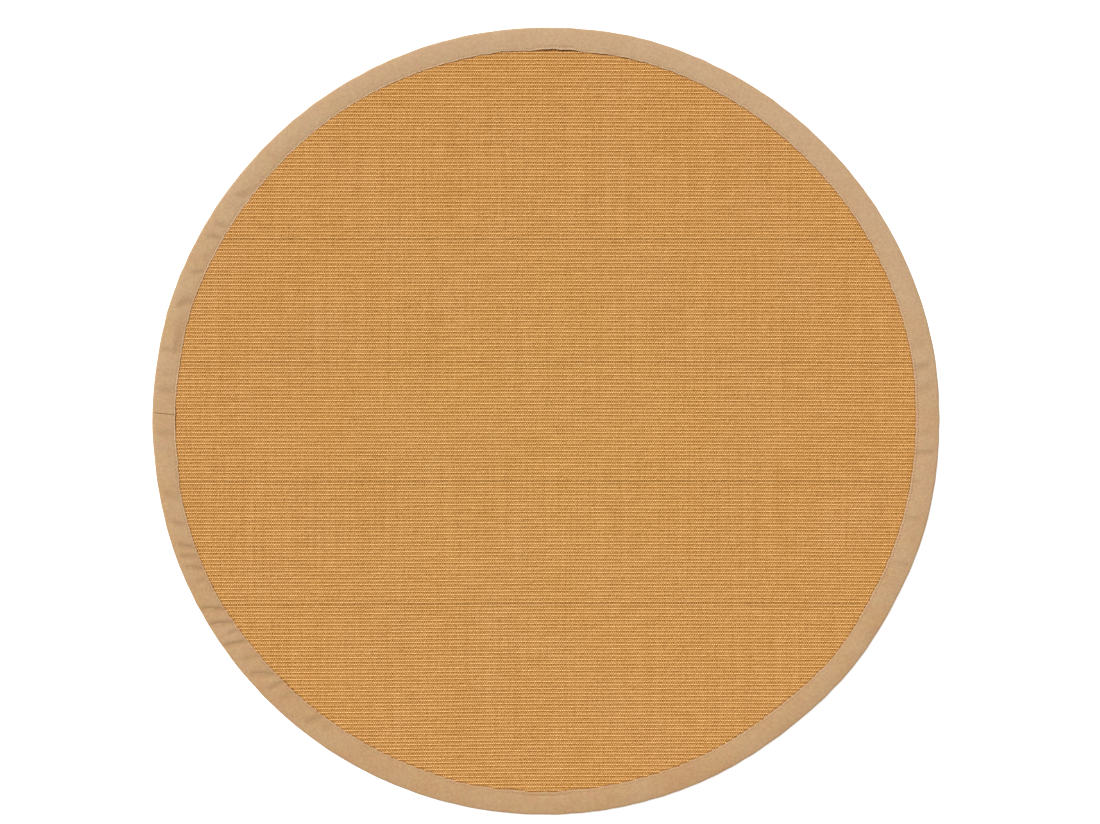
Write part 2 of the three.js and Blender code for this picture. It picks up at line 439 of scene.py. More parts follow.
@dataclass(frozen=True)
class Weave:
    """The mat's weave: ribs that run along X at an even pitch, and the loops along each rib.

    A rib's crest has a fat bead at each loop. Below it, towards the next rib, dark slots alternate with
    the upright yarns that tie the ribs together.
    """

    loop_pitch: float = 4.32
    rib_pitch: float = 6.88
    crest_y: float = -2.1
    bead_x: float = 2.16
    drift_columns: tuple[float, ...] = (-750, -375, 0, 375, 750)
    drift_rows: tuple[float, ...] = (-640, -320, 0, 320, 640)
    drift: tuple[tuple[float, ...], ...] = (
        (-5.5, -4.5, -0.5, 1, 0),
        (-2, -1, 1.5, 2, 0),
        (-0.5, -1, 0, -1, -2.5),
        (0, -0.5, 0, 0, -1.5),
        (1, 2, 1.5, 0.5, 0),
    )

    def rib_drift(self, x: Floats, y: Floats) -> Floats:
        """How far the ribs have wandered towards +Y.

        The table is read along both axes, as a sum of the two nearest entries weighted by their
        nearness, which is half straight and half eased.

        Args:
            x: Places along the ribs.
            y: Places across the ribs, before the drift.

        Returns:
            The drift in millimetres.
        """

        def weights(place: Floats, knots: tuple[float, ...]) -> Floats:
            """Weights of the knots at each place, which add to 1."""
            at = np.clip((place - knots[0]) / (knots[1] - knots[0]), 0, len(knots) - 1)
            near = np.minimum(np.floor(at), len(knots) - 2)
            share = ((at - near + smoothstep(at - near)) / 2)[..., None]
            index = np.arange(len(knots)) - near[..., None]
            return (index == 0) * (1 - share) + (index == 1) * share

        rows = weights(y, self.drift_rows) @ np.array(self.drift)
        return (rows * weights(x, self.drift_columns)).sum(axis=-1)

    def rib_at(self, x: Floats, y: Floats) -> Floats:
        """The rib coordinate of a place: whole on a crest, and half way in a valley."""
        return (y - self.crest_y - self.rib_drift(x, y)) / self.rib_pitch

    def loop_at(self, x: Floats) -> Floats:
        """The loop coordinate of a place: whole on a bead."""
        return (x - self.bead_x) / self.loop_pitch


@dataclass(frozen=True)
class Plan:
    """The rug's plan: its uneven outline and the uneven line along which the border is sewn down."""

    radius: float = 750.0
    border_width: float = 44.0
    weave: Weave = Weave()
    rows: tuple[EdgeRow, ...] = EDGE_ROWS
    lifts: tuple[Lift, ...] = LIFTS
    step_share_top: float = 0.15
    step_share_bottom: float = 0.45
    step_from: float = 0.36
    stepped_sine: Pair = (0.72, 0.94)
    lift_level: float = 0.35
    outline_wander: float = 0.18
    sewn_wander: float = 0.35

    def offset(self, angle: Floats, column: str) -> Floats:
        """Reads the table of the edge with smooth steps from row to row, all the way round.

        Args:
            angle: Angles in degrees.
            column: "outline" or "sewn".

        Returns:
            Millimetres outside the plain circle.
        """
        angle = angle % FULL_TURN
        angles = np.array([row.angle for row in self.rows] + [FULL_TURN])
        values = np.array([getattr(row, column) for row in (*self.rows, self.rows[0])])
        before = np.searchsorted(angles, angle, side="right") - 1
        share = smoothstep((angle - angles[before]) / (angles[before + 1] - angles[before]))
        return values[before] * (1 - share) + values[before + 1] * share

    def outline_radius(self, angle: Floats) -> Floats:
        """The outline's radius: the plain one, its table, and a fine wander."""
        wander = round_wander(angle, 40, 130, seed=11) * self.outline_wander
        return self.radius + self.offset(angle, "outline") + wander

    def plain_sewn_radius(self, angle: Floats) -> Floats:
        """The sewn edge's radius before its steps, lifts and fine wander."""
        return self.radius - self.border_width + self.offset(angle, "sewn")

    def sewn_radius(self, angle: Floats) -> Floats:
        """The sewn edge's radius, with a fine wander, drawn back where the edge stands up.

        Near the rug's top and bottom the cloth's edge settles along a rib and then steps to the next,
        so its height y is moved part of the way to the nearest valley between ribs.

        Args:
            angle: Angles in degrees.

        Returns:
            The radius in millimetres.
        """
        radius = self.plain_sewn_radius(angle)
        x, y, _ = np.moveaxis(round_points(angle, radius, 0.0), -1, 0)
        sine = y / radius
        off = (self.weave.rib_at(x, y) % 1.0) - 0.5
        settled = np.sign(off) * 0.5 * smoothstep(np.abs(off), self.step_from, 0.5)
        share = np.where(y > 0, self.step_share_top, self.step_share_bottom)
        share = share * smoothstep(np.abs(sine), *self.stepped_sine)
        step = share * (settled - off) * self.weave.rib_pitch / np.where(np.abs(sine) > 0.5, sine, 1.0)
        wander = round_wander(angle, 60, 240, seed=12) * self.sewn_wander
        return radius + step + self.lifted(angle, "retreat") + wander

    def lifted(self, angle: Floats, column: str = "rise") -> Floats:
        """Adds up one column of the lifts, each of which is level, with smooth ends.

        Args:
            angle: Angles in degrees.
            column: "rise", "retreat" or "crease".

        Returns:
            Millimetres.
        """
        total = np.zeros_like(angle)
        for lift in self.lifts:
            along = np.abs(turn_between(angle, lift.angle)) / lift.half_length
            total = total + getattr(lift, column) * (1 - smoothstep(along, self.lift_level, 1.0))
        return total


# Finishes


@dataclass(frozen=True)
class Grain:
    """A noise on the weave's map, which counts loops of 4.3 mm along X and ribs of 6.9 mm along Y.

    Cells are counted a loop, a rib and a step of depth, and the strength is the noise's share of the tone.
    """

    cells: tuple[float, float, float]
    detail: float
    roughness: float
    strength: float


@dataclass(frozen=True)
class SisalWeaveFinish:
    """Sisal yarn, spun from stiff leaf fibre and woven into beaded ribs.

    The eye gets a matt golden surface with bright straw-coloured beads in rows, a dark slot under each
    bead with an orange cross thread behind it, light upright yarns between the beads, and a salt and
    pepper grain where single fibres catch the light. The fibres are drawn twice as wide as they are, so
    that they show.

    Stops run down across the weave, from one rib's crest at 0 to the next rib's crest at 1. Besides the
    yarn's colours they hold painted light and shade: lightest where the rib's upper side faces the light,
    with painted shade under the crest, in the slot and where the upright yarn dives under the next rib.
    """

    # Painted light and shade in both ramps: the bead's stop is a painted highlight on its lit upper side,
    # and the slot, the dip between beads and the dive under the next rib are darkened as painted shade
    bead_stops: Stops = (
        (0.0, "#BF873D"),  # the lower flank of the crest
        (0.08, "#A26A1F"),
        (0.19, "#8F5A14"),  # the slot under the bead
        (0.37, "#B98440"),  # the cross thread
        (0.53, "#936425"),  # the next rib's upper shade
        (0.63, "#AB7A3A"),
        (0.75, "#E1B176"),
        (0.84, "#F4C48A"),  # the bead
        (0.92, "#E3AF6E"),
        (1.0, "#BF873D"),
    )
    between_stops: Stops = (
        (0.0, "#A36D28"),  # the dip between two beads
        (0.07, "#9D6926"),
        (0.17, "#B07D3A"),
        (0.27, "#D09D59"),
        (0.34, "#DCAA6C"),  # the upright yarn
        (0.44, "#C69352"),
        (0.6, "#9C6D30"),  # where it dives under the next rib
        (0.72, "#B48648"),
        (0.82, "#CA9A5E"),  # the yarn from bead to bead
        (0.9, "#BF8E50"),
        (1.0, "#A36D28"),
    )
    bead_end: Pair = (0.12, 0.38)
    stretches: Grain = Grain((1 / 11, 5.37, 1.0), 3.0, 0.62, 0.26)
    uprights: Grain = Grain((0.9, 0.021, 1.0), 1.0, 0.5, 0.21)
    fibres: Grain = Grain((2.6, 17.0, 1.0), 4.0, 0.6, 0.32)
    specks: Grain = Grain((2.4, 3.8, 1.0), 2.0, 0.7, 2.6)
    brightest: float = 1.28
    deepening: float = 0.27
    reddening: float = 0.016
    hues: Pair = (0.4844, 0.4816)
    hues_at_mm: Pair = (150.0, 600.0)
    richness: float = 0.012
    richness_spread: float = 0.01
    patch_mm: float = 170.0
    patch_levels: Pair = (0.3, 0.7)
    yarn_from: float = 0.4
    # Painted shade along the seam: a reddish brown laid where the sewn edge presses the yarn into a groove
    # and shades it
    seam_shade: str = "#7A4218"
    seam_shade_share: float = 0.9
    seam_shade_mm: Pair = (-1.0, 4.2)
    seam_shade_cells: float = 1.3
    seam_shade_in_valleys: float = 0.8
    seam_shade_levels: Pair = (0.52, 0.85)
    least_seam_shade: float = 0.08
    pattern_bump_mm: float = 1.2
    fibre_bump_mm: float = 0.2
    bump: float = 0.7
    roughness: float = 0.85
    sheen: float = 0.25

    def material(self) -> bpy.types.Material:
        """Builds the material on the weave's map.

        Returns:
            The new material.
        """
        material, node = new_material("woven_sisal_yarn")
        weave = node("UVMap", uv_map=Layer.WEAVE.value)
        loop = node("SeparateXYZ", weave)
        rib = loop.node.outputs["Y"]

        # The pattern of one loop, with its painted light and shade: a ramp down through a bead, and one
        # down between two beads
        from_bead = node("Math", loop, 0.5, operation="PINGPONG")
        below_crest = node("Math", 1.0, node("Math", rib, operation="FRACT"), operation="SUBTRACT")
        bead = node("ValToRGB", below_crest, stops=self.bead_stops)
        between = node("ValToRGB", below_crest, stops=self.between_stops)
        off_bead = node("MapRange", from_bead, *self.bead_end, **EASED)
        yarn = node("Mix", off_bead, A_Color=bead, B_Color=between, **COLOURS)

        # Tone varies in long stretches of each rib's yarn, from one upright yarn to the next, along the
        # fibres and in a yarn-sized grain
        rib_number = node("Math", node("Math", rib, self.yarn_from, operation="ADD"), operation="FLOOR")
        places = {grain: weave for grain in (self.uprights, self.fibres, self.specks)}
        places[self.stretches] = node("CombineXYZ", loop, rib_number)
        tone, noises = 1 - sum(grain.strength for grain in places) / 2, {}
        for grain, start in places.items():
            place = node("VectorMath", start, grain.cells, operation="MULTIPLY")
            noise = node("TexNoise", place, Scale=1.0, Detail=grain.detail, Roughness=grain.roughness)
            tone = node("Math", noise, grain.strength, tone, operation="MULTIPLY_ADD")
            noises[grain] = noise
        tone = node("Math", tone, self.brightest, operation="MINIMUM")

        # Darker yarn is also deeper in colour and redder, and so is yarn far from the faded middle. The
        # colour's depth drifts in wide patches
        place = node("TexCoord", output="Object")
        patches = node("TexNoise", place, Scale=1 / (self.patch_mm * MM), Detail=1.0)
        rich, spread = 1 + self.deepening + self.richness, self.richness_spread
        deepest = node("MapRange", patches, *self.patch_levels, rich - spread, rich + spread)
        saturation = node("Math", tone, -self.deepening, deepest, operation="MULTIPLY_ADD")
        from_middle = node("VectorMath", place, output="Value", operation="LENGTH")
        faded = node("MapRange", from_middle, *(mm * MM for mm in self.hues_at_mm), *self.hues)
        hue = node("Math", tone, self.reddening, faded, operation="MULTIPLY_ADD")
        toned = node("HueSaturation", hue, saturation, tone, Color=yarn)

        # Painted shade along the border's seam, a reddish brown where the yarn is pressed into a groove
        # under the sewn edge and its lips, most of all between two ribs
        inside = node("Attribute", output="Fac", attribute_name=Layer.INSIDE.value)
        seam_shade = node("MapRange", inside, *self.seam_shade_mm, self.seam_shade_share, 0.0, **EASED)
        from_crest = node("Math", rib, 0.5, operation="PINGPONG")
        seam_shade_noise = node("TexNoise", weave, Scale=self.seam_shade_cells, Detail=1.0)
        shaded_hollows = node("Math", from_crest, self.seam_shade_in_valleys, seam_shade_noise, operation="MULTIPLY_ADD")
        shaded_hollows = node("MapRange", shaded_hollows, *self.seam_shade_levels, self.least_seam_shade, **EASED)
        seam_shaded = node("Math", seam_shade, shaded_hollows, operation="MULTIPLY")
        seam_shade_colour = linear_colour(self.seam_shade)
        colour = node("Mix", seam_shaded, A_Color=toned, B_Color=seam_shade_colour, **COLOURS)

        # Relief finer than the mesh: the pattern's dark parts lie deeper, and fibres stand up
        pattern = node("Math", node("RGBToBW", yarn), self.pattern_bump_mm, operation="MULTIPLY")
        height = node("Math", noises[self.fibres], self.fibre_bump_mm, pattern, operation="MULTIPLY_ADD")
        normal = node("Bump", Strength=self.bump, Distance=MM, Height=height)
        matt = {"Roughness": self.roughness, "Specular_IOR_Level": self.sheen}
        node("OutputMaterial", node("BsdfPrincipled", colour, Normal=normal, **matt))
        return material


@dataclass(frozen=True)
class CottonClothFinish:
    """Plain-woven cotton cloth, dyed tan and unglazed.

    The eye gets a smooth matt band, painted lighter and paler towards the lit top of the picture as painted
    light and a little redder below, finely mottled, darker with painted shade where it is gathered, rubbed
    pale along its sewn edge, with a fine even thread. The thread is drawn twice as wide as it is, so that
    it shows.

    Its three noises each have a size in millimetres, a detail and a roughness.
    """

    tone_stops: Stops = ((0.1, "#AF8A62"), (0.5, "#B1906C"), (0.9, "#B29473"))
    worn: str = "#E7C19E"
    shade: str = "#8E6A48"
    hole: str = "#8C4C38"
    join: str = "#6A5232"
    light_side: float = 80.0
    painted_light_share: float = 0.3
    light_reach_mm: float = 750.0
    patches: tuple[float, float, float] = (70.0, 2.0, 0.5)
    mottle: tuple[float, float, float] = (5.0, 5.0, 0.75)
    flush: tuple[float, float, float] = (14.0, 3.0, 0.6)
    mottle_value: float = 0.34
    flush_hue: float = 0.02
    shade_share: float = 0.3
    worn_share: float = 0.72
    worn_mm: Pair = (0.6, 2.3)
    rubbing_cells: tuple[float, float, float] = (1.5, 0.22, 1.0)
    rubbing_levels: Pair = (0.38, 0.62)
    from_rib: Pair = (0.12, 0.36)
    pressed_up: Pair = (0.5, 0.05)
    hole_share: float = 0.7
    hole_stitches: Pair = (0.06, 0.2)
    hole_mm: Pair = (0.4, 1.4)
    hole_depth_mm: float = 0.6
    join_share: float = 0.85
    join_stitch_mm: float = 5.8
    join_dash_mm: Pair = (0.5, 1.3)
    join_gap_share: float = 0.45
    thread_mm: float = 1.1
    thread_bump_mm: float = 0.04
    seam_mm: float = 4.0
    bump: float = 0.6
    roughness: float = 0.9
    sheen: float = 0.2

    def material(self, name: str, whole: bool) -> bpy.types.Material:
        """Builds the material.

        Args:
            name: The material's name.
            whole: Whether it is the border's own, with the wear and the painted shade that the border's map
                and readings give.

        Returns:
            The new material.
        """
        material, node = new_material(name)
        place = node("TexCoord", output="Object")
        patches, mottle, flush = (
            node("TexNoise", place, Scale=1 / (size * MM), Detail=detail, Roughness=roughness)
            for size, detail, roughness in (self.patches, self.mottle, self.flush)
        )
        # Patches of dye, and painted light: the tone is painted lighter and paler towards the lit top of
        # the picture, and redder below
        side, reach = math.radians(self.light_side), self.light_reach_mm * MM
        upward = (math.cos(side) / reach, math.sin(side) / reach, 0.0)
        towards_light = node("VectorMath", place, upward, output="Value", operation="DOT_PRODUCT")
        tone = node("Math", towards_light, self.painted_light_share, patches, operation="MULTIPLY_ADD")
        dye_and_painted_light = node("ValToRGB", tone, stops=self.tone_stops)
        value = node("MapRange", mottle, 0.0, 1.0, 1 - self.mottle_value, 1 + self.mottle_value)
        hue = node("MapRange", flush, 0.0, 1.0, 0.5 - self.flush_hue, 0.5 + self.flush_hue)
        colour = node("HueSaturation", hue, 1.0, value, Color=dye_and_painted_light)
        turns = (2 * math.pi / (self.thread_mm * MM),) * 3
        along = node("SeparateXYZ", node("VectorMath", place, turns, operation="MULTIPLY"))
        warp, weft = (node("Math", along.node.outputs[axis], operation="SINE") for axis in "XY")
        threads = node("Math", warp, weft, operation="MULTIPLY")
        height = node("Math", threads, self.thread_bump_mm, operation="MULTIPLY")
        if whole:
            colour, height = self.wear(node, colour, height)
        normal = node("Bump", Strength=self.bump, Distance=MM, Height=height)
        matt = {"Roughness": self.roughness, "Specular_IOR_Level": self.sheen}
        node("OutputMaterial", node("BsdfPrincipled", colour, Normal=normal, **matt))
        return material

    def wear(self, node: AddNode, colour: Any, height: Any) -> tuple[Any, Any]:
        """Adds the gathers' painted shade, the worn edge, the needle holes and the join to the cloth.

        They are laid on the border's map, which counts stitches along the seam and has millimetres from
        the sewn edge across it.

        Args:
            node: The function that adds a node.
            colour: The plain cloth's colour.
            height: The plain cloth's bump height in millimetres.

        Returns:
            The colour and the bump height.
        """
        cloth = node("UVMap", uv_map=Layer.CLOTH.value)
        stitch = node("SeparateXYZ", cloth)
        from_edge = stitch.node.outputs["Y"]
        trough, rib, bare, pulled, joined = (
            node("Attribute", output="Fac", attribute_name=layer.value)
            for layer in (Layer.TROUGH, Layer.RIB, Layer.BARE, Layer.NEEDLE, Layer.JOIN)
        )

        # Painted shade darkens the gathers' troughs
        shaded = node("Math", trough, self.shade_share, operation="MULTIPLY")

        # The dye is rubbed off the sewn edge where the ribs below press it up
        edge_place = node("VectorMath", cloth, self.rubbing_cells, operation="MULTIPLY")
        rubbing = node("TexNoise", edge_place, Scale=1.0, Detail=2.0, Roughness=0.7)
        rubbed = node("MapRange", rubbing, *self.rubbing_levels, 0.0, self.worn_share)
        at_edge = node("MapRange", from_edge, *self.worn_mm, 1.0, 0.0, **EASED)
        from_rib = node("Math", rib, 0.5, operation="PINGPONG")
        pressed_up = node("MapRange", from_rib, *self.from_rib, *self.pressed_up, **EASED)
        pressed_up = node("Math", pressed_up, bare, operation="MAXIMUM")
        worn = node("Math", rubbed, pressed_up, operation="MULTIPLY")
        worn = node("Math", worn, at_edge, operation="MULTIPLY")

        # Needle holes lie between the stitches, and show where the thread is pulled tight
        off_hole = node("Math", stitch, 0.5, operation="PINGPONG")
        at_hole = node("MapRange", off_hole, *self.hole_stitches, 1.0, 0.0, **EASED)
        off_seam = node("Math", from_edge, self.seam_mm, operation="SUBTRACT")
        off_seam = node("Math", off_seam, operation="ABSOLUTE")
        at_seam = node("MapRange", off_seam, *self.hole_mm, 1.0, 0.0, **EASED)
        holes = node("Math", at_hole, at_seam, operation="MULTIPLY")
        holes = node("Math", holes, pulled, operation="MULTIPLY")
        holed = node("Math", holes, self.hole_share, operation="MULTIPLY")
        height = node("Math", holes, -self.hole_depth_mm, height, operation="MULTIPLY_ADD")

        # The join's own stitches are short dark dashes in its groove
        off_dash = node("Math", from_edge, self.join_stitch_mm / 2, operation="PINGPONG")
        dash = node("MapRange", off_dash, *self.join_dash_mm, self.join_gap_share, self.join_share, **EASED)
        dashed = node("Math", joined, dash, operation="MULTIPLY")

        marks = ((shaded, self.shade), (worn, self.worn), (holed, self.hole), (dashed, self.join))
        for share, tint in marks:
            colour = node("Mix", share, A_Color=colour, B_Color=linear_colour(tint), **COLOURS)
        return colour, height


# The mat


@dataclass
class SisalMat:
    """The woven mat: its flat ground with the pressed rim, and the ribs with their loops on it.

    The weave's grid has four rows to a rib: the cross thread, the slot under the beads, the crest and
    the upper flank. Columns take turns between beads and the gaps between them. Heights are above the
    surface that the rug lies on.
    """

    plan: Plan
    finish: SisalWeaveFinish = SisalWeaveFinish()
    ground_top: float = 3.3
    ribs_base: float = 3.0
    rim_base: float = 1.5
    rim_top: float = 2.9
    fold_radius: float = 3.0
    clearance: float = 0.3
    under_border: float = 2.2
    ground_bevel: float = 0.1
    grid_margin: float = 8.0
    pressed_height: float = 4.8
    pressed_inside: Pair = (-0.4, 2.6)
    lip_shade: float = 1.3
    band_ends: tuple[int, ...] = (-103, -50, -16, 17, 51, 104)
    row_offsets: tuple[float, ...] = (-0.48, -0.26, 0.0, 0.2)
    bead_heights: tuple[float, ...] = (5.0, 4.0, 6.8, 4.8)
    gap_heights: tuple[float, ...] = (5.8, 5.2, 5.6, 5.2)
    height_spread: float = 0.34
    place_spread: float = 0.09
    swell_spread: float = 0.2
    swell_columns: int = 14
    sway_spread: float = 0.12
    sway_columns: int = 18
    far_inside: float = 30.0
    baked_relief: float = 0.97
    baked_strip: Pair = (0.98, 0.02)
    seed: int = 5

    def build(self) -> list[bpy.types.Object]:
        """Makes the ground and the bands of ribs, and dresses them.

        Returns:
            The ground first, then the bands from -Y to +Y.
        """
        material = self.finish.material()
        pieces = [self.ground().build("sisal_mat_ground", material)]
        weave = self.weave_grid()
        for number, ends in enumerate(zip(self.band_ends, self.band_ends[1:]), 1):
            pieces.append(self.band(weave, *ends).build(f"sisal_mat_ribs_{number}", material))
        return pieces

    def ground(self, steps: int = 480) -> Surface:
        """The mat's lower half: a round plate with a rim that reaches into the border's fold.

        A profile of radii and heights is carried once round, each radius taken from the plan at that
        angle, and it is closed by a fan at the centre above and below.

        Args:
            steps: Steps round the rug.

        Returns:
            The closed surface.
        """
        angle = np.arange(steps) * FULL_TURN / steps
        inner = self.plan.plain_sewn_radius(angle) - self.clearance
        outer = self.plan.outline_radius(angle) - self.fold_radius - self.clearance
        profile = [
            (inner, 0.0),
            (inner, self.rim_base),
            (outer, self.rim_base),
            (outer, self.rim_top),
            (inner + self.under_border, self.rim_top),
            (inner + self.under_border - self.ground_bevel, self.ground_top),
        ]
        rings = [round_points(angle, radius, height) for radius, height in profile]
        points = np.concatenate([*rings, [[0, 0, 0.0], [0, 0, self.ground_top]]])
        surface = Surface(points, [*capped_rings(len(rings), steps)], flat_from=0)
        x, y, _ = points[surface.corners].T
        weave = self.plan.weave
        surface.maps[Layer.WEAVE] = np.stack([weave.loop_at(x), weave.rib_at(x, y)], axis=-1)
        surface.readings[Layer.INSIDE] = np.full(len(points), self.far_inside)
        return surface

    def weave_grid(self) -> Floats:
        """The whole weave as one grid of points with their readings.

        Row r lies at rib first + r // 4, moved by that row's offset. Column c lies at loop c / 2.
        Heights come from the two tables, with a random part for each point and a slow part along each
        rib. Places have the same two random parts. By the sewn edge heights ease down to the pressed
        height.

        Returns:
            A grid whose last axis is x, y, z, loop, rib and the distance inside the sewn edge, which is
            counted less where the edge stands up, so that the painted shade along the seam reaches further
            under it.
        """
        plan, weave = self.plan, self.plan.weave
        ribs, kinds = self.band_ends[-1] - self.band_ends[0], len(self.row_offsets)
        reach = math.ceil((plan.radius - plan.border_width + self.grid_margin) / weave.loop_pitch) * 2
        rows, columns = np.arange(ribs * kinds + 1), np.arange(-reach, reach + 1)
        number, kind = rows // kinds, rows % kinds
        loop, rib = np.meshgrid(columns / 2, self.band_ends[0] + number + np.array(self.row_offsets)[kind])
        random = np.random.default_rng(self.seed)
        sway = slow_rows(random, ribs + 1, len(columns), self.sway_columns)[number]
        swell = slow_rows(random, ribs + 1, len(columns), self.swell_columns)[number]
        x = loop * weave.loop_pitch + weave.bead_x + random.normal(0, self.place_spread, loop.shape)
        flat_y = rib * weave.rib_pitch + weave.crest_y
        y = flat_y + weave.rib_drift(x, flat_y) + sway * self.sway_spread
        y += random.normal(0, self.place_spread, loop.shape)
        heights = np.stack([self.bead_heights, self.gap_heights])[np.abs(columns) % 2][:, kind].T
        z = heights + random.normal(0, self.height_spread, loop.shape) + swell * self.swell_spread
        angle = np.rad2deg(np.arctan2(y, x)) % FULL_TURN
        inside = plan.sewn_radius(angle) - np.hypot(x, y)
        z = self.pressed_height + (z - self.pressed_height) * smoothstep(inside, *self.pressed_inside)
        shaded = inside - self.lip_shade * plan.lifted(angle)
        return np.stack([x, y, z, loop, rib, shaded], axis=-1)

    def band(self, weave: Floats, first: int, last: int) -> Surface:
        """A band of ribs as a closed slab: relief on top, walls along its rim and one flat face below.

        Cells beyond the sewn edge are left out, but for the few millimetres under the border.

        Args:
            weave: The whole weave's grid.
            first: The first rib's number.
            last: The number after the last rib's.

        Returns:
            The closed surface, whose walls and underside are flat shaded.
        """
        start, end = ((number - self.band_ends[0]) * len(self.row_offsets) for number in (first, last))
        grid = weave[start : end + 1]
        quads = grid_quads(*grid.shape[:2])
        grid = grid.reshape(-1, grid.shape[-1])
        quads = quads[grid[quads, 5].mean(axis=1) > -self.under_border]
        used, quads = np.unique(quads, return_inverse=True)
        grid, quads = grid[used], quads.reshape(-1, 4)
        rim = rim_order(quads, len(grid))
        foot = grid[rim]
        foot[:, 2] = self.ribs_base
        whole = np.concatenate([grid, foot])
        lower = len(grid) + np.arange(len(rim))
        walls = np.stack([np.roll(rim, -1), rim, lower, np.roll(lower, -1)], -1)
        surface = Surface(whole[:, :3], [quads, walls, lower[None, ::-1]], flat_from=len(quads))
        corners = surface.corners
        surface.maps[Layer.WEAVE] = whole[corners, 3:5]
        surface.readings[Layer.INSIDE] = whole[:, 5]

        # For baking the band is seen from above, and its underside is squeezed into a strip beside it
        low, high = whole[:, :2].min(axis=0), whole[:, :2].max(axis=0)
        flat = ((whole[:, :2] - low) / (high - low) * [1.0, self.baked_relief])[corners]
        flat[-len(lower) :, 1] = self.baked_strip[0] + flat[-len(lower) :, 1] * self.baked_strip[1]
        surface.maps[Layer.BAKE] = flat
        return surface


# The border


